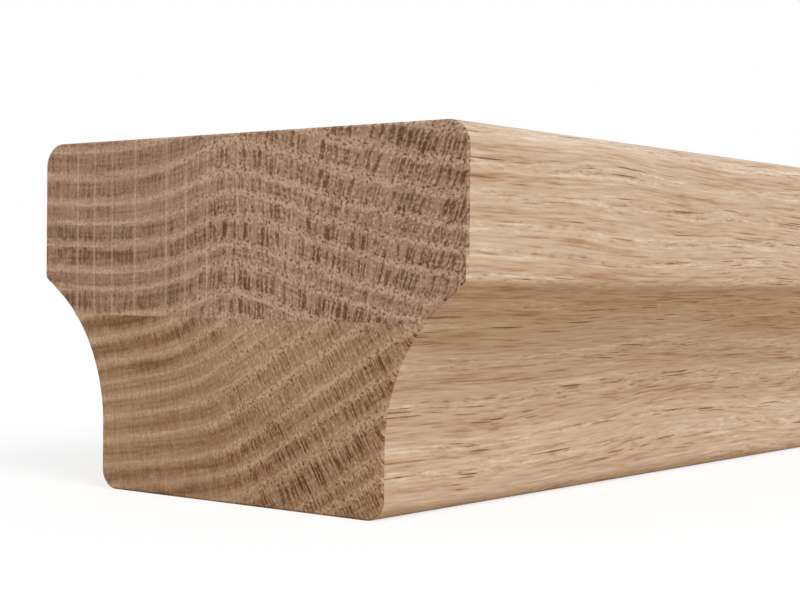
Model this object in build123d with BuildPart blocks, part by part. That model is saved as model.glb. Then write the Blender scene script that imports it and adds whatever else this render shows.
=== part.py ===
"""Laminated oak handrail with a broad rounded grip, a cove on each side and a narrower flat base.

Two planed boards are glued face to face, the blank is moulded to the section along its whole
length, and the ends are cut square. The rail lies along X with its underside on Z = 0, and the
origin is at the middle of the underside. Millimetres.
"""

import os
from math import sqrt

from build123d import *

# Length and section
rail_length = 1000.0
grip_width = 70.0
base_width = 47.0
rail_height = 45.0
grip_side_height = 18.0
cove_radius = 21.0

# Rounded and broken edges
grip_corner_radius = 3.0
grip_lip_radius = 1.2
base_corner_radius = 2.5
end_arris = 0.25

# Lamination: the lower board's thickness as it stands in the finished section
lower_board_thickness = 22.5

# The cove is an arc that leaves the base's upright side without a corner and ends at the grip's lip
grip_half = grip_width / 2
base_half = base_width / 2
overhang = grip_half - base_half
lip_height = rail_height - grip_side_height
cove_rise = sqrt(cove_radius**2 - (cove_radius - overhang) ** 2)
cove_start_height = lip_height - cove_rise

# The moulded blank, before it is told apart into its two boards
with BuildPart() as moulded_rail:
    with BuildSketch(Plane.YZ.offset(-rail_length / 2)) as section:
        with BuildLine() as outline:
            underside = Line((0, 0), (base_half, 0))
            base_side = Line(underside @ 1, (base_half, cove_start_height))
            cove = TangentArc(base_side @ 1, (grip_half, lip_height), tangent=(0, 1))
            grip_side = Line(cove @ 1, (grip_half, rail_height))
            grip_top = Line(grip_side @ 1, (0, rail_height))
            mirror(about=Plane.YZ)
        make_face()
        fillet(section.vertices().group_by(Axis.Y)[-1], radius=grip_corner_radius)
        lips = section.vertices().filter_by_position(Axis.Y, lip_height - 0.01, lip_height + 0.01)
        fillet(lips, radius=grip_lip_radius)
        base_corners = section.vertices().group_by(Axis.Y)[0].sort_by(Axis.X)
        fillet([base_corners[0], base_corners[-1]], radius=base_corner_radius)
    extrude(amount=rail_length)
    chamfer(moulded_rail.faces().filter_by(Axis.X).edges(), length=end_arris)

glue_plane = Plane.XY.offset(lower_board_thickness)

# Upper board: the whole grip and the first part of the cove
with BuildPart() as upper_board:
    add(moulded_rail.part)
    split(bisect_by=glue_plane, keep=Keep.TOP)

# Lower board: the rest of the cove and the base
with BuildPart() as lower_board:
    add(moulded_rail.part)
    split(bisect_by=glue_plane, keep=Keep.BOTTOM)

upper_board.part.label = "upper_board"
lower_board.part.label = "lower_board"

os.makedirs("parts", exist_ok=True)
export_step(upper_board.part, "parts/upper_board.step")
export_step(lower_board.part, "parts/lower_board.step")
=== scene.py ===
"""Laminated oak handrail: the finish of its two boards, and the studio that it is seen in."""

from math import atan2, cos, hypot, pi, radians, sin, sqrt

import bmesh
import bpy
from mathutils import Matrix, Vector, noise


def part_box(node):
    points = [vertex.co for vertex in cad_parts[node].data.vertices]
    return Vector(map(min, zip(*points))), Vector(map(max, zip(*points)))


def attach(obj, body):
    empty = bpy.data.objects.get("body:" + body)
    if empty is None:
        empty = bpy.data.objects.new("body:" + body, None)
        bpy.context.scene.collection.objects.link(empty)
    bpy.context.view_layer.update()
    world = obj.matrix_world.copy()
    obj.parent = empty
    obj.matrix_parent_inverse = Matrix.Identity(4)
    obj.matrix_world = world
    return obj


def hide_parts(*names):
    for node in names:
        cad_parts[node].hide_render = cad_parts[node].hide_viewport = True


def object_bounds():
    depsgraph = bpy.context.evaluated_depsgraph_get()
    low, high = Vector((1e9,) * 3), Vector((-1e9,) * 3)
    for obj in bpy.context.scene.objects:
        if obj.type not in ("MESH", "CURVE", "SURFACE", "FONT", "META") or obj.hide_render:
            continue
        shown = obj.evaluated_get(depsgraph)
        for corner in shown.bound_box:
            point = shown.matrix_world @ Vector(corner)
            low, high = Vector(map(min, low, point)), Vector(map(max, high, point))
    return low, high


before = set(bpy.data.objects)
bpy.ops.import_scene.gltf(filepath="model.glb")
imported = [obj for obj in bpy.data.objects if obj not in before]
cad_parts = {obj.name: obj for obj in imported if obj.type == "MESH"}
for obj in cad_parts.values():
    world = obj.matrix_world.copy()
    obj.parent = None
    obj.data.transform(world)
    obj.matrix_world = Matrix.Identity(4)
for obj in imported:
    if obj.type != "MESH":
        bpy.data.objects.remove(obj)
cad_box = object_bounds()

# UPPER BOARD
# The grip half of the rail: planed oak glued to the lower board, then moulded with it in one pass
# to the rounded grip and the first part of each cove, sanded, and cut square with a fine saw.
MM = 0.001
low, high = cad_box
rail_length = (high.x - low.x) / MM
grip_width = (high.y - low.y) / MM
rail_height = (high.z - low.z) / MM
near_end = low.x / MM
glue_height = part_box("lower_board")[1].z / MM
base_width = 47.0
cove_radius = 21.0
grip_side_height = 18.0
grip_corner_radius = 3.0
grip_lip_radius = 1.2
end_arris = 0.25
section_step = 4.0
# Sanding leaves the lip under the grip a little uneven: this deep, in waves this long
sanding_depth = 0.20
sanding_wave = 6.0
sanded_zone = 2.5

grip_half = grip_width / 2
base_half = base_width / 2
lip_height = rail_height - grip_side_height
cove_across = base_half + cove_radius
cove_up = lip_height - sqrt(cove_radius**2 - (cove_across - grip_half) ** 2)
lip_across = grip_half - grip_lip_radius
lip_up = cove_up + sqrt((cove_radius + grip_lip_radius) ** 2 - (cove_across - lip_across) ** 2)
lip_turn = atan2(lip_up - cove_up, lip_across - cove_across)
glue_rise = glue_height - cove_up
glue_turn = pi - atan2(glue_rise, sqrt(cove_radius**2 - glue_rise**2))
# A point nearer to the glue line than this lies on it
glue_reach = 1e-6


def arc(centre, radius, start, end, steps):
    """Points of an arc and their outward directions; a negative radius marks a hollow arc."""
    turns = [start + (end - start) * i / steps for i in range(steps + 1)]
    across, up = centre
    sense = 1 if radius > 0 else -1
    size = abs(radius)
    return [
        ((across + size * cos(t), up + size * sin(t)), (sense * cos(t), sense * sin(t)))
        for t in turns
    ]


def straight(start, end, facing, steps):
    """Points between start and end, with the outward direction of a flat face."""
    shares = [(i + 1) / (steps + 1) for i in range(steps)]
    return [
        ((start[0] + (end[0] - start[0]) * s, start[1] + (end[1] - start[1]) * s), facing)
        for s in shares
    ]


def sanding(along, across, up):
    """How far the sanded surface stands shy of the moulded one, most at the lip. Never proud."""
    highest_wave = 0.8
    near = max(0.0, 1 - hypot(abs(across) - grip_half, up - lip_height) / sanded_zone)
    wave = noise.noise(Vector((along / sanding_wave, up / sanded_zone, across)))
    return near * sanding_depth * (min(wave, highest_wave) - highest_wave)


def map_across(outline):
    """Where each edge of an outline starts on the bake map, 0 to 1; the glued face is hidden."""
    hidden_share = 0.05
    places = [0.0]
    for (here, _), (there, _) in zip(outline, outline[1:] + outline[:1]):
        length = hypot(there[0] - here[0], there[1] - here[1])
        glued = max(abs(here[1] - glue_height), abs(there[1] - glue_height)) < glue_reach
        places.append(places[-1] + length * (hidden_share if glued else 1.0))
    return [place / places[-1] for place in places]


def moulded_board(name, half):
    """A board from half of its outline: rings along X, and an arris at both square-cut ends."""
    outline = half + [((-y, z), (-ny, nz)) for (y, z), (ny, nz) in reversed(half)]
    inner_half = rail_length / 2 - end_arris
    spans = round(2 * inner_half / section_step)
    stations = [(-rail_length / 2, end_arris)]
    stations += [(-inner_half + 2 * inner_half * i / spans, 0.0) for i in range(spans + 1)]
    stations += [(rail_length / 2, end_arris)]
    mesh = bmesh.new()
    rings = []
    for along, inset in stations:
        ring = []
        for (across, up), (ny, nz) in outline:
            sway = 0.0 if inset else sanding(along, across, up)
            glued = abs(up - glue_height) < glue_reach
            drop = inset - sway
            lift = 0.0 if glued else nz * drop
            place = Vector((along, across - ny * drop, up - lift)) * MM
            ring.append(mesh.verts.new(place))
        rings.append(ring)

    # The map that the oak is baked through: the length in two strips, and both ends above them at
    # over three times the scale, because end grain is finer than long grain
    layer = mesh.loops.layers.uv.new("OFBake")
    margin = 0.004
    end_scale = (0.5 - 2 * margin) / grip_width
    lowest = min(up for (_, up), _ in outline)
    tallest = max(up for (_, up), _ in outline)
    strip_height = (1 - (tallest - lowest) * end_scale - 2 * margin) / 2
    across_map = map_across(outline)
    count = len(outline)
    middle = len(stations) // 2
    for k in range(len(stations) - 1):
        strip, first, last = (0, 0, middle) if k < middle else (1, middle, len(stations) - 1)
        strip_length = stations[last][0] - stations[first][0]
        shares = [(stations[s][0] - stations[first][0]) / strip_length for s in (k, k + 1)]
        left, right = [margin + share * (1 - 2 * margin) for share in shares]
        for i in range(count):
            corners = (rings[k][i], rings[k][(i + 1) % count])
            corners += (rings[k + 1][(i + 1) % count], rings[k + 1][i])
            face = mesh.faces.new(corners)
            low_edge, high_edge = [
                strip * strip_height + margin + across_map[e] * (strip_height - 2 * margin)
                for e in (i, i + 1)
            ]
            spots = ((left, low_edge), (left, high_edge), (right, high_edge), (right, low_edge))
            for loop, spot in zip(face.loops, spots):
                loop[layer].uv = spot
    for ring, side in ((list(reversed(rings[0])), 0), (rings[-1], 1)):
        face = mesh.faces.new(ring)
        for loop in face.loops:
            across, up = loop.vert.co.y / MM, loop.vert.co.z / MM
            u = margin + side / 2 + (across + grip_half) * end_scale
            loop[layer].uv = (u, 2 * strip_height + margin + (up - lowest) * end_scale)
    bmesh.ops.recalc_face_normals(mesh, faces=mesh.faces)
    data = bpy.data.meshes.new(name)
    mesh.to_mesh(data)
    mesh.free()
    board = bpy.data.objects.new(name, data)
    bpy.context.scene.collection.objects.link(board)
    bpy.context.view_layer.objects.active = board
    board.select_set(True)
    bpy.ops.object.shade_smooth_by_angle(angle=radians(30))
    board.select_set(False)
    return board


cove_centre = (cove_across, cove_up)
corner_up = rail_height - grip_corner_radius
corner_across = grip_half - grip_corner_radius
upper_half = arc(cove_centre, -cove_radius, glue_turn, lip_turn, steps=10)
upper_half += arc((lip_across, lip_up), grip_lip_radius, lip_turn - pi, 0, steps=8)[1:]
upper_half += straight((grip_half, lip_up), (grip_half, corner_up), facing=(1, 0), steps=4)
upper_half += arc((corner_across, corner_up), grip_corner_radius, 0, pi / 2, steps=12)
upper_half += straight((corner_across, rail_height), (0, rail_height), facing=(0, 1), steps=6)
upper_board = moulded_board("upper_board_oak", upper_half)


def linear(hex_colour):
    """An sRGB hex colour as the linear colour that a shader takes."""
    channels = [int(hex_colour[i : i + 2], 16) / 255 for i in (1, 3, 5)]
    return [c / 12.92 if c <= 0.04045 else ((c + 0.055) / 1.055) ** 2.4 for c in channels] + [1.0]


def add(tree, kind, inputs, **settings):
    """Adds a node with its settings, and fills its inputs with values or with other nodes."""
    node = tree.nodes.new("ShaderNode" + kind)
    for name, value in settings.items():
        setattr(node, name, value)
    live = [socket for socket in node.inputs if socket.enabled]
    for key, value in inputs.items():
        socket = live[key] if isinstance(key, int) else next(s for s in live if s.name == key)
        if isinstance(value, bpy.types.Node):
            value = next(s for s in value.outputs if s.enabled)
        if isinstance(value, bpy.types.NodeSocket):
            tree.links.new(value, socket)
        else:
            socket.default_value = value
    return node


def grain_place(tree, seed):
    """The place in a board in millimetres, swaying as the trunk grew; the near end stays true."""
    sway_waves = (55.0, 24.0, 24.0)
    sway_reach = (0.0, 5.0, 4.5)
    sway_start = 30.0
    noise_mean = (0.5, 0.5, 0.5)
    coordinates = add(tree, "TexCoord", {}).outputs["Object"]
    place = add(tree, "VectorMath", {0: coordinates, "Scale": 1 / MM}, operation="SCALE")
    waves = add(tree, "VectorMath", {0: place, 1: sway_waves}, operation="DIVIDE")
    slow = {"Vector": waves, "W": seed, "Scale": 1.0, "Detail": 2.0}
    sway = add(tree, "TexNoise", slow, noise_dimensions="4D").outputs["Color"]
    centred = add(tree, "VectorMath", {0: sway, 1: noise_mean}, operation="SUBTRACT")
    along = add(tree, "SeparateXYZ", {0: place})
    grown = {"Value": along, "From Min": near_end, "From Max": near_end + sway_start}
    share = add(tree, "MapRange", grown, interpolation_type="SMOOTHSTEP")
    shared = add(tree, "VectorMath", {0: centred, "Scale": share}, operation="SCALE")
    return add(tree, "VectorMath", {0: shared, 1: sway_reach, 2: place}, operation="MULTIPLY_ADD")


def sawn_oak(name, lie_of_rings, years, dense_span, tongue_width, seed, shades):
    """Oak worked out from how it grew, so that rings, rays and vessels meet at every edge.

    lie_of_rings gives, for each place, the depth outward from the pith and the place along a ring,
    both in mm, the broad rays, how open the vessels are, how far the fine rays part the dense wood,
    and how pale the wood is. years lists the depth in mm at which each year's ring starts, with how
    dense that year's summer wood is. dense_span gives the shares of a year over which the dense
    wood comes and goes, and tongue_width is how wide its dark tongues are. The seed sets the slow
    changes of one board apart from the other's. Sizes of patterns are in mm: along the grain, along
    a ring, and outward.
    """
    noise_mean = 0.5
    material = bpy.data.materials.new(name)
    material.use_nodes = True
    tree = material.node_tree
    tree.nodes.clear()
    x, y, z = add(tree, "SeparateXYZ", {0: grain_place(tree, seed)}).outputs
    depth, around, ray, openness, parted_share, tone_level = lie_of_rings(tree, x, y, z)
    grown = add(tree, "CombineXYZ", {0: x, 1: around, 2: depth})

    # Yearly rings, wavy where the large vessels push them about
    starts = [start for start, _ in years]
    inmost, outmost = starts[0], starts[-1]
    span = outmost - inmost
    last = len(years) - 1
    in_table = {"Value": depth, "From Min": inmost, "From Max": outmost}
    table_place = add(tree, "MapRange", in_table)
    year_table = add(tree, "ValToRGB", {0: table_place})
    density_table = add(tree, "ValToRGB", {0: table_place})
    year_stops = []
    for k, start in enumerate(starts):
        year_stops.append(((start - inmost) / span, (k / last,) * 3 + (1,)))
    density_stops = []
    for (this_start, density), (next_start, _) in zip(years, years[1:]):
        middle = (this_start + next_start) / 2 - inmost
        density_stops.append((middle / span, (density,) * 3 + (1,)))
    ripple_size, ripple_reach = (25.0, 1.3, 5.0), 0.5
    ripple_place = add(tree, "VectorMath", {0: grown, 1: ripple_size}, operation="DIVIDE")
    ripple = add(tree, "TexNoise", {"Vector": ripple_place, "Scale": 1.0, "Detail": 2.0})
    ripple = add(tree, "Math", {0: ripple, 1: noise_mean}, operation="SUBTRACT")
    ripple = add(tree, "Math", {0: ripple, 1: openness}, operation="MULTIPLY")
    year = add(tree, "Math", {0: year_table, 1: last}, operation="MULTIPLY")
    year = add(tree, "Math", {0: ripple, 1: ripple_reach, 2: year}, operation="MULTIPLY_ADD")
    season = add(tree, "Math", {0: year}, operation="FRACT")
    spring = {"Value": season, "From Min": 0.08, "From Max": 0.36, "To Min": 1.0, "To Max": 0.0}
    pale_line = add(tree, "MapRange", spring, interpolation_type="SMOOTHSTEP")
    opening = {"Value": season, "From Min": 0.26, "From Max": 0.44, "To Min": 1.0, "To Max": 0.0}
    vessel_zone = add(tree, "MapRange", opening, interpolation_type="SMOOTHSTEP")

    # The dense summer wood starts and stops raggedly, and is denser in places
    ragged_size, raggedness = (14.0, 0.8, 2.0), 0.5
    ragged_place = add(tree, "VectorMath", {0: grown, 1: ragged_size}, operation="DIVIDE")
    ragged = add(tree, "TexNoise", {"Vector": ragged_place, "Scale": 1.0, "Detail": 1.0})
    early, late, uneven = add(tree, "SeparateColor", {0: ragged.outputs["Color"]}).outputs
    start = add(tree, "Math", {0: early, 1: noise_mean}, operation="SUBTRACT")
    start = add(tree, "Math", {0: start, 1: raggedness, 2: season}, operation="MULTIPLY_ADD")
    rise_start, rise_end, fall_start, fall_end = dense_span
    summer = {"Value": start, "From Min": rise_start, "From Max": rise_end}
    dense_start = add(tree, "MapRange", summer, interpolation_type="SMOOTHSTEP")
    stop = add(tree, "Math", {0: late, 1: raggedness, 2: season}, operation="MULTIPLY_ADD")
    stop = add(tree, "Math", {0: stop, 1: raggedness * noise_mean}, operation="SUBTRACT")
    autumn = {"Value": stop, "From Min": fall_start, "From Max": fall_end}
    autumn.update({"To Min": 1.0, "To Max": 0.0})
    dense_end = add(tree, "MapRange", autumn, interpolation_type="SMOOTHSTEP")
    dense = add(tree, "Math", {0: dense_start, 1: dense_end}, operation="MULTIPLY")
    patch_size = (60.0, 8.0, 2.6)
    patch_place = add(tree, "VectorMath", {0: grown, 1: patch_size}, operation="DIVIDE")
    patch = add(tree, "TexNoise", {"Vector": patch_place, "Scale": 1.0, "Detail": 2.0})
    thinning = {"Value": patch, "From Min": 0.35, "From Max": 0.62, "To Min": 0.72, "To Max": 1.0}
    patchy = add(tree, "MapRange", thinning, interpolation_type="SMOOTHSTEP")
    dense = add(tree, "Math", {0: dense, 1: density_table}, operation="MULTIPLY")
    dense = add(tree, "Math", {0: dense, 1: patchy}, operation="MULTIPLY")

    # On the end it shows as dark tongues, parted by fine rays that wander a little
    wander_size, wander_reach = (20.0, 3.0, 1.8), (0.0, 0.9, 0.0)
    wander_place = add(tree, "VectorMath", {0: grown, 1: wander_size}, operation="DIVIDE")
    wander = add(tree, "TexNoise", {"Vector": wander_place, "Scale": 1.0}).outputs["Color"]
    wandered = {0: wander, 1: wander_reach, 2: grown}
    wandering = add(tree, "VectorMath", wandered, operation="MULTIPLY_ADD")
    tongue_size = (14.0, tongue_width, 15.0)
    tongue_place = add(tree, "VectorMath", {0: wandering, 1: tongue_size}, operation="DIVIDE")
    tongue_cells = {"Vector": tongue_place, "Scale": 1.0, "Randomness": 0.9}
    parting = add(tree, "TexVoronoi", tongue_cells, feature="DISTANCE_TO_EDGE")
    parted = {"Value": parting, "From Min": 0.0, "From Max": 0.24}
    tongue = add(tree, "MapRange", parted, interpolation_type="SMOOTHSTEP")
    tone = {"Value": uneven, "From Min": 0.32, "From Max": 0.66, "To Min": 0.55, "To Max": 1.0}
    dark = add(tree, "Math", {0: tongue, 1: add(tree, "MapRange", tone)}, operation="MULTIPLY")
    unparted_tone = 0.65
    parted_mix = {"Factor": parted_share, "A": unparted_tone, "B": dark}
    dark = add(tree, "Mix", parted_mix, data_type="FLOAT")
    dark = add(tree, "Math", {0: dark, 1: dense}, operation="MULTIPLY")
    # Broad rays cut through it, and it is paler where the vessels are small
    ray_cut = -0.8
    crossed = add(tree, "Math", {0: dark, 1: ray}, operation="MULTIPLY")
    dark = add(tree, "Math", {0: crossed, 1: ray_cut, 2: dark}, operation="MULTIPLY_ADD")
    coarse = {"Value": openness, "From Min": 0.2, "From Max": 1.0, "To Min": 0.80, "To Max": 1.0}
    dark = add(tree, "Math", {0: dark, 1: add(tree, "MapRange", coarse)}, operation="MULTIPLY")

    # Vessels: open tubes up to 0.3 mm wide in the spring wood, dots on the end and dashes along
    # the sides
    vessel_size = (16.0, 0.42, 0.36)
    vessel_place = add(tree, "VectorMath", {0: grown, 1: vessel_size}, operation="DIVIDE")
    vessel_cells = {"Vector": vessel_place, "Scale": 1.0, "Randomness": 1.0}
    vessel_off = add(tree, "TexVoronoi", vessel_cells)
    pick = add(tree, "SeparateColor", {0: vessel_off.outputs["Color"]})
    bore = add(tree, "MapRange", {"Value": pick, "To Min": 0.08, "To Max": 0.37})
    inside = add(tree, "Math", {0: bore, 1: vessel_off}, operation="SUBTRACT")
    wall = {"Value": inside, "From Min": 0.0, "From Max": 0.10}
    vessel = add(tree, "MapRange", wall, interpolation_type="SMOOTHSTEP")
    fewer = {"Value": season, "From Min": 0.40, "From Max": 0.85, "To Min": 1.0, "To Max": 0.2}
    vessel = add(tree, "Math", {0: vessel, 1: add(tree, "MapRange", fewer)}, operation="MULTIPLY")
    cluster_size = (22.0, 5.0, 1.6)
    cluster_place = add(tree, "VectorMath", {0: grown, 1: cluster_size}, operation="DIVIDE")
    groups = {"Vector": cluster_place, "W": seed, "Scale": 1.0}
    cluster = add(tree, "TexNoise", groups, noise_dimensions="4D")
    grouping = {"Value": cluster, "From Min": 0.34, "From Max": 0.48}
    clustered = add(tree, "MapRange", grouping, interpolation_type="SMOOTHSTEP")
    dash = add(tree, "Math", {0: vessel, 1: clustered}, operation="MULTIPLY")

    # Torn mouths of small vessels, light and dark. Real ones are under 0.1 mm: drawn to show
    torn_size = (1.8, 0.40, 0.36)
    torn_place = add(tree, "VectorMath", {0: grown, 1: torn_size}, operation="DIVIDE")
    torn = add(tree, "TexNoise", {"Vector": torn_place, "Scale": 1.0, "Detail": 1.0})
    hollow = {"Value": torn, "From Min": 0.57, "From Max": 0.68}
    hole = add(tree, "MapRange", hollow, interpolation_type="SMOOTHSTEP")
    raised = {"Value": torn, "From Min": 0.44, "From Max": 0.32}
    crumb = add(tree, "MapRange", raised, interpolation_type="SMOOTHSTEP")

    # Fibres are 0.02 mm in the wood, drawn as fine as shows. Growth within a year leaves fine
    # lines along the rings, the finest rays leave hairlines across them, and wet and dry spells
    # leave broad streaks
    fibre_size = (6.5, 0.36, 0.36)
    fibre_place = add(tree, "VectorMath", {0: grown, 1: fibre_size}, operation="DIVIDE")
    fine = {"Vector": fibre_place, "Scale": 1.0, "Detail": 4.0, "Roughness": 0.62}
    fibre = add(tree, "TexNoise", fine)
    hairline_size = (30.0, 0.36, 4.0)
    hairline_place = add(tree, "VectorMath", {0: wandering, 1: hairline_size}, operation="DIVIDE")
    hairline = add(tree, "TexNoise", {"Vector": hairline_place, "Scale": 1.0, "Detail": 2.0})
    month_size = (26.0, 9.0, 0.42)
    month_place = add(tree, "VectorMath", {0: grown, 1: month_size}, operation="DIVIDE")
    month = add(tree, "TexNoise", {"Vector": month_place, "Scale": 1.0, "Detail": 2.0})
    streak_size = (24.0, 5.0, 1.2)
    streak_place = add(tree, "VectorMath", {0: grown, 1: streak_size}, operation="DIVIDE")
    streak = add(tree, "TexNoise", {"Vector": streak_place, "Scale": 1.0, "Detail": 3.0})
    cloud_size = (70.0, 14.0, 10.0)
    cloud_place = add(tree, "VectorMath", {0: grown, 1: cloud_size}, operation="DIVIDE")
    clouds = {"Vector": cloud_place, "W": seed, "Scale": 1.0}
    cloud = add(tree, "TexNoise", clouds, noise_dimensions="4D")

    # End grain: open fibre ends soak up light, so the cut end is the darker face. Each pattern
    # pales or darkens it by its share
    mottle = add(tree, "Math", {0: torn, 1: noise_mean}, operation="SUBTRACT")
    mottle = add(tree, "Math", {0: mottle, 1: openness}, operation="MULTIPLY")
    end_hole, end_crumb = -0.45, 0.16
    loose = add(tree, "Math", {0: hole, 1: end_hole}, operation="MULTIPLY")
    loose = add(tree, "Math", {0: loose, 1: vessel_zone}, operation="MULTIPLY")
    loose = add(tree, "Math", {0: crumb, 1: end_crumb, 2: loose}, operation="MULTIPLY_ADD")
    end_shares = (
        (cloud, 0.30),
        (fibre, 0.50),
        (mottle, -0.75),
        (month, 0.55),
        (hairline, 0.42),
        (pale_line, 0.15),
        (dark, -0.92),
        (loose, openness),
        (ray, 0.11),
    )
    end = tone_level
    for pattern, share in end_shares:
        end = add(tree, "Math", {0: pattern, 1: share, 2: end}, operation="MULTIPLY_ADD")
    end_colour = add(tree, "ValToRGB", {0: end})

    # Long grain: planed fibres seen from the side, with open vessels as dark dashes
    side_hole, side_crumb = -0.20, 0.14
    rough = add(tree, "Math", {0: crumb, 1: side_crumb}, operation="MULTIPLY")
    rough = add(tree, "Math", {0: hole, 1: side_hole, 2: rough}, operation="MULTIPLY_ADD")
    rough = add(tree, "Math", {0: rough, 1: clustered}, operation="MULTIPLY")
    side_level = -0.44
    side_shares = (
        (streak, 0.42),
        (fibre, 1.25),
        (month, 0.49),
        (dense, -0.18),
        (dash, -0.50),
        (rough, vessel_zone),
    )
    side = side_level
    for pattern, share in side_shares:
        side = add(tree, "Math", {0: pattern, 1: share, 2: side}, operation="MULTIPLY_ADD")
    side_colour = add(tree, "ValToRGB", {0: side})

    end_stops = [(level, linear(shade)) for level, shade in shades["end"]]
    side_stops = [(level, linear(shade)) for level, shade in shades["side"]]
    tables = ((year_table, year_stops), (density_table, density_stops))
    tables += ((end_colour, end_stops), (side_colour, side_stops))
    for table, stops in tables:
        marks = table.color_ramp.elements
        while len(marks) < len(stops):
            marks.new(0.5)
        for mark, (level, shade) in zip(marks, stops):
            mark.position = level
            mark.color = shade

    # The cut end and its arris are end grain; every other face is long grain. Vessels and torn
    # mouths are pits, and the sanded sides are a little smoother than the sawn end
    facing = add(tree, "SeparateXYZ", {0: add(tree, "TexCoord", {}).outputs["Normal"]})
    endward = add(tree, "Math", {0: facing}, operation="ABSOLUTE")
    cut = {"Value": endward, "From Min": 0.55, "From Max": 0.65}
    end_share = add(tree, "MapRange", cut, interpolation_type="SMOOTHSTEP")
    both = {"Factor": end_share, "A": side_colour, "B": end_colour}
    colour = add(tree, "Mix", both, data_type="RGBA")
    height = 0.0
    for pattern, share in ((fibre, 0.5), (dash, -1.5), (loose, 0.8)):
        height = add(tree, "Math", {0: pattern, 1: share, 2: height}, operation="MULTIPLY_ADD")
    relief = add(tree, "Bump", {"Strength": 0.4, "Distance": 0.12 * MM, "Height": height})
    roughness = add(tree, "MapRange", {"Value": end_share, "To Min": 0.58, "To Max": 0.85})
    finish = {
        "Base Color": colour,
        "Roughness": roughness,
        "IOR": 1.5,
        "Specular IOR Level": 0.3,
        "Normal": relief,
    }
    add(tree, "OutputMaterial", {"Surface": add(tree, "BsdfPrincipled", finish)})
    return material


def rings_over_a_crest(tree, x, y, z):
    """Rings that lie almost level and rise to one low crest near the middle of the board."""
    crest_height, fall, rise_along = 6.1, 0.072, 0.006
    crest_width_right, crest_width_left, crest_middle = 18.5, 10.7, 3.0
    widening = {"Value": y, "From Min": -crest_middle, "From Max": crest_middle}
    widening.update({"To Min": crest_width_right, "To Max": crest_width_left})
    crest_width = add(tree, "MapRange", widening)
    share = add(tree, "Math", {0: y, 1: crest_width}, operation="DIVIDE")
    spread = add(tree, "Math", {0: share, 1: share, 2: 1.0}, operation="MULTIPLY_ADD")
    crest = add(tree, "Math", {0: crest_height, 1: spread}, operation="DIVIDE")
    depth = add(tree, "Math", {0: z, 1: crest}, operation="SUBTRACT")
    depth = add(tree, "Math", {0: y, 1: -fall, 2: depth}, operation="MULTIPLY_ADD")
    from_end = add(tree, "Math", {0: x, 1: near_end}, operation="SUBTRACT")
    depth = add(tree, "Math", {0: from_end, 1: rise_along, 2: depth}, operation="MULTIPLY_ADD")
    # Past the crest the rays lean with the rings, this much at the -Y side
    lean_most, lean_height = 0.42, 34.0
    leaning = {"Value": y, "From Min": -grip_half, "From Max": -2.0}
    leaning.update({"To Min": lean_most, "To Max": 0.0})
    lean = add(tree, "MapRange", leaning, interpolation_type="SMOOTHSTEP")
    above = add(tree, "Math", {0: z, 1: lean_height}, operation="SUBTRACT")
    around = add(tree, "Math", {0: above, 1: lean, 2: y}, operation="MULTIPLY_ADD")
    # A few rays, at these places in mm, are broad enough to show as upright lines through every
    # ring
    broad_rays = (28.5, 25.2, 21.8, 17.5, 11.8, 8.3, 4.6, -0.5, -9.3, -17.0)
    ray_core, ray_edge = 0.05, 0.34
    off_ray = grip_width
    for ray_place in broad_rays:
        gap = add(tree, "Math", {0: around, 1: ray_place}, operation="SUBTRACT")
        gap = add(tree, "Math", {0: gap}, operation="ABSOLUTE")
        off_ray = add(tree, "Math", {0: off_ray, 1: gap}, operation="MINIMUM")
    width = {"Value": off_ray, "From Min": ray_core, "From Max": ray_edge}
    width.update({"To Min": 1.0, "To Max": 0.0})
    ray = add(tree, "MapRange", width, interpolation_type="SMOOTHSTEP")
    opening = {"Value": y, "From Min": -4.0, "From Max": 14.0, "To Min": 1.0, "To Max": 0.35}
    openness = add(tree, "MapRange", opening, interpolation_type="SMOOTHSTEP")
    off_middle = add(tree, "Math", {0: y}, operation="ABSOLUTE")
    middle_tone, edge_tone = -0.15, -0.23
    toning = {"Value": off_middle, "From Min": 0.0, "From Max": grip_half}
    toning.update({"To Min": middle_tone, "To Max": edge_tone})
    parting = {"Value": openness, "From Min": 0.35, "From Max": 1.0, "To Min": 0.45, "To Max": 1.0}
    parted_share = add(tree, "MapRange", parting)
    return depth, around, ray, openness, parted_share, add(tree, "MapRange", toning)


# Each shade of the cut end and of the long faces, with its level from dark to pale wood
long_grain = (
    (0.0, "#80593C"), (0.3, "#AC896B"), (0.5, "#C1A68E"), (0.72, "#CDB7A1"), (1.0, "#E3D3C0"),
)
upper_end_grain = (
    (0.0, "#603F28"), (0.28, "#775842"), (0.55, "#9A7D68"), (0.8, "#AF917B"), (1.0, "#C3A893"),
)
upper_shades = {"end": upper_end_grain, "side": long_grain}
# Each year of the upper board: the depth in mm where it starts, and how dense its summer wood is
upper_years = (
    (13.5, 0.55), (16.3, 0.75), (19.1, 0.75), (22.8, 0.40), (25.1, 0.85), (28.5, 0.70),
    (31.4, 0.40), (33.9, 0.55), (37.3, 0.55), (40.8, 0.80), (44.4, 0.55), (47.5, 0.70),
    (50.3, 0.45), (53.5, 0.60), (56.5, 0.55),
)
upper_span = (0.22, 0.44, 0.84, 1.0)
upper_oak = sawn_oak(
    "upper_board_sawn_oak",
    rings_over_a_crest,
    upper_years,
    upper_span,
    tongue_width=0.80,
    seed=5.0,
    shades=upper_shades,
)
upper_board.data.materials.append(upper_oak)
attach(upper_board, "root")
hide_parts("upper_board")

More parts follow.
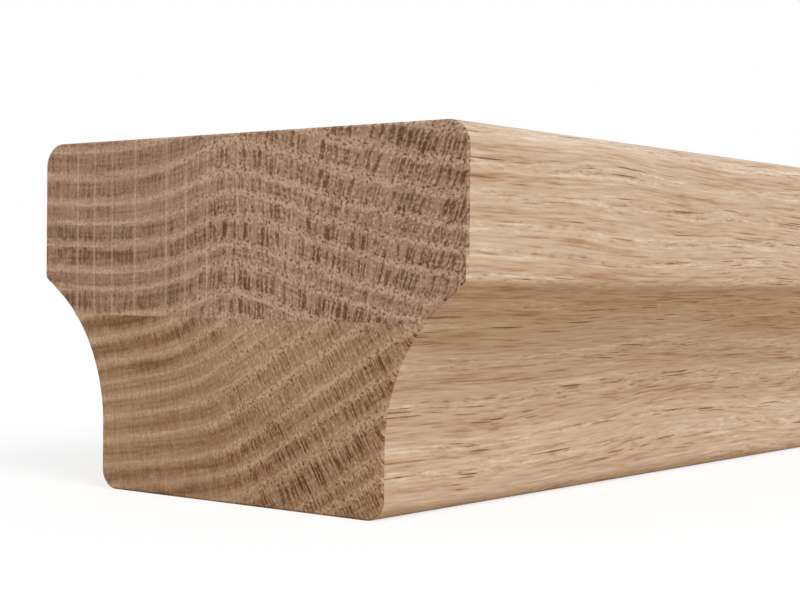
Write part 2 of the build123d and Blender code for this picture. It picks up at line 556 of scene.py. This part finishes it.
# LOWER BOARD
# The base half of the rail, from another oak board: its rings lie level at one side and climb
# across the other, so the end grain changes direction at the glue line.
base_corner_radius = 2.5
foot_across = base_half - base_corner_radius
base_edge_up = base_corner_radius
lower_half = straight((0, 0), (foot_across, 0), facing=(0, -1), steps=5)
lower_half += arc((foot_across, base_edge_up), base_corner_radius, -pi / 2, 0, steps=10)
lower_half += straight((base_half, base_edge_up), (base_half, cove_up), facing=(1, 0), steps=2)
lower_half += arc(cove_centre, -cove_radius, pi, glue_turn, steps=14)
lower_board = moulded_board("lower_board_oak", lower_half)


def rings_that_climb(tree, x, y, z):
    """Rings nearly level at the +Y side, which bend at a slanted line and climb to the -Y side."""
    level_slope, bend_slope, bend_tilt, bend_shift, softness = 0.125, 0.332, 0.60, 1.8, 5.6
    lean_level, lean_climb, rise_along = 0.14, 0.60, 0.006
    tilted = add(tree, "Math", {0: z, 1: bend_tilt, 2: -bend_shift}, operation="MULTIPLY_ADD")
    past = add(tree, "Math", {0: tilted, 1: y}, operation="SUBTRACT")
    squared = add(tree, "Math", {0: past, 1: past, 2: softness**2}, operation="MULTIPLY_ADD")
    size = add(tree, "Math", {0: squared}, operation="SQRT")
    climb = add(tree, "Math", {0: past, 1: size}, operation="ADD")
    height = add(tree, "Math", {0: y, 1: level_slope, 2: z}, operation="MULTIPLY_ADD")
    height = add(tree, "Math", {0: climb, 1: -bend_slope / 2, 2: height}, operation="MULTIPLY_ADD")
    depth = add(tree, "Math", {0: height, 1: -1.0}, operation="MULTIPLY")
    from_end = add(tree, "Math", {0: x, 1: near_end}, operation="SUBTRACT")
    depth = add(tree, "Math", {0: from_end, 1: rise_along, 2: depth}, operation="MULTIPLY_ADD")
    leaning = {"Value": past, "From Min": -4.0, "From Max": 14.0}
    leaning.update({"To Min": lean_level, "To Max": lean_climb})
    lean = add(tree, "MapRange", leaning, interpolation_type="SMOOTHSTEP")
    shifted = add(tree, "Math", {0: lean, 1: z}, operation="MULTIPLY")
    around = add(tree, "Math", {0: shifted, 1: y}, operation="SUBTRACT")
    # Many narrow rays, which show only where the rings climb
    ray_gap, ray_core, ray_edge = 1.0, 0.03, 0.16
    ray_place = add(tree, "Math", {0: around, 1: ray_gap}, operation="DIVIDE")
    off_ray = add(tree, "TexVoronoi", {"W": ray_place, "Scale": 1.0}, voronoi_dimensions="1D")
    width = {"Value": off_ray, "From Min": ray_core, "From Max": ray_edge}
    width.update({"To Min": 1.0, "To Max": 0.0})
    ray = add(tree, "MapRange", width, interpolation_type="SMOOTHSTEP")
    showing = {"Value": past, "From Min": 0.0, "From Max": 18.0, "To Min": 0.0, "To Max": 1.0}
    shown = add(tree, "MapRange", showing, interpolation_type="SMOOTHSTEP")
    ray = add(tree, "Math", {0: ray, 1: shown}, operation="MULTIPLY")
    opening = {"Value": past, "From Min": -6.0, "From Max": 8.0, "To Min": 0.2, "To Max": 0.75}
    openness = add(tree, "MapRange", opening, interpolation_type="SMOOTHSTEP")
    parting = {"Value": past, "From Min": -8.0, "From Max": 12.0, "To Min": 0.15, "To Max": 1.0}
    parted_share = add(tree, "MapRange", parting, interpolation_type="SMOOTHSTEP")
    level_tone, climb_tone = -0.155, -0.27
    toning = {"Value": depth, "From Min": -16.0, "From Max": 6.0}
    toning.update({"To Min": level_tone, "To Max": climb_tone})
    return depth, around, ray, openness, parted_share, add(tree, "MapRange", toning)


lower_end_grain = (
    (0.0, "#603A20"), (0.28, "#79563A"), (0.55, "#97785D"), (0.8, "#AD8F75"), (1.0, "#C2A58A"),
)
lower_shades = {"end": lower_end_grain, "side": long_grain}
lower_years = (
    (-29.0, 0.50), (-26.0, 1.00), (-22.4, 0.90), (-19.2, 0.80), (-16.6, 0.30), (-14.7, 0.30),
    (-12.2, 0.45), (-9.3, 0.45), (-5.9, 0.65), (-3.2, 0.75), (-0.4, 1.00), (4.0, 0.45),
    (5.6, 0.60), (9.5, 0.70), (12.6, 0.50), (15.5, 0.80), (19.5, 0.60),
)
lower_span = (0.16, 0.50, 0.62, 0.98)
lower_oak = sawn_oak(
    "lower_board_sawn_oak",
    rings_that_climb,
    lower_years,
    lower_span,
    tongue_width=0.55,
    seed=9.0,
    shades=lower_shades,
)
lower_board.data.materials.append(lower_oak)
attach(lower_board, "root")
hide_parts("lower_board")

# STUDIO
# A pale floor that runs out of sight into a white background, a soft key light from high behind
# the camera on its right, a weaker one from its left on the cut end, and weak light all round.
floor_size = 60.0
floor_mesh = bpy.data.meshes.new("studio_floor")
reach = floor_size / 2
corners = [(-reach, -reach), (reach, -reach), (reach, reach), (-reach, reach)]
floor_mesh.from_pydata([(*corner, low.z) for corner in corners], [], [(0, 1, 2, 3)])
floor = bpy.data.objects.new("studio_floor", floor_mesh)
bpy.context.scene.collection.objects.link(floor)
pale_floor = bpy.data.materials.new("pale_floor")
pale_floor.use_nodes = True
tree = pale_floor.node_tree
tree.nodes.clear()
# The camera sees it nearly white, still with the rail's shadow; the light that it throws back up
# is warmer and weaker, as from a wooden bench top
glow_share = 0.75
path = add(tree, "LightPath", {})
bench = add(tree, "BsdfDiffuse", {"Color": linear("#D4C2AA")})
paper = add(tree, "BsdfDiffuse", {"Color": linear("#FFFFFF")})
glow = add(tree, "Emission", {"Color": linear("#FFFFFF"), "Strength": 1.0})
seen = add(tree, "MixShader", {0: glow_share, 1: paper, 2: glow})
floor_surface = add(tree, "MixShader", {0: path.outputs["Is Camera Ray"], 1: bench, 2: seen})
add(tree, "OutputMaterial", {"Surface": floor_surface})
floor_mesh.materials.append(pale_floor)

world = bpy.data.worlds.new("studio_light")
bpy.context.scene.world = world
world.use_nodes = True
tree = world.node_tree
tree.nodes.clear()
ambient = 0.57
path = add(tree, "LightPath", {})
looked_at = {0: path.outputs["Is Camera Ray"], 1: path.outputs["Is Glossy Ray"]}
visible = add(tree, "Math", looked_at, operation="MAXIMUM")
strength = add(tree, "MapRange", {"Value": visible, "To Min": ambient, "To Max": 1.0})
sky = add(tree, "Background", {"Color": linear("#FFFFFF"), "Strength": strength})
add(tree, "OutputWorld", {"Surface": sky})


def soft_sun(name, direction, strength, spread):
    """A lamp that lights the whole floor alike; its spread softens the shadows."""
    lamp = bpy.data.lights.new(name, "SUN")
    lamp.energy = strength
    lamp.angle = radians(spread)
    holder = bpy.data.objects.new(name, lamp)
    holder.rotation_euler = Vector(direction).to_track_quat("-Z", "Y").to_euler()
    bpy.context.scene.collection.objects.link(holder)


soft_sun("key_light", direction=(0.25, 0.80, -0.82), strength=1.90, spread=35)
soft_sun("fill_light", direction=(0.9, 0.1, -0.45), strength=0.45, spread=60)

# The camera stands level with the lip, close to the near end, and looks along the rail
camera_back, camera_aside, camera_height = 144.05, 139.30, 27.35
heading, tilt, roll = radians(38.26), radians(-0.69), radians(0.56)
focal_pixels, frame_pixels, sensor_width = 1646.0, 800.0, 36.0
camera_data = bpy.data.cameras.new("camera")
camera_data.sensor_width = sensor_width
camera_data.lens = focal_pixels / frame_pixels * sensor_width
camera_data.clip_start = 0.01
camera_data.clip_end = 200.0
camera = bpy.data.objects.new("camera", camera_data)
forward = Vector((cos(heading) * cos(tilt), sin(heading) * cos(tilt), sin(tilt)))
right = Vector((sin(heading), -cos(heading), 0.0))
upward = right.cross(forward)
right_rolled = right * cos(roll) + upward * sin(roll)
upward_rolled = upward * cos(roll) - right * sin(roll)
turned = Matrix((right_rolled, upward_rolled, -forward)).transposed().to_4x4()
stand = Vector((low.x - camera_back * MM, -camera_aside * MM, low.z + camera_height * MM))
camera.matrix_world = Matrix.Translation(stand) @ turned
bpy.context.scene.collection.objects.link(camera)
bpy.context.scene.camera = camera
bpy.context.scene.view_settings.view_transform = "Standard"
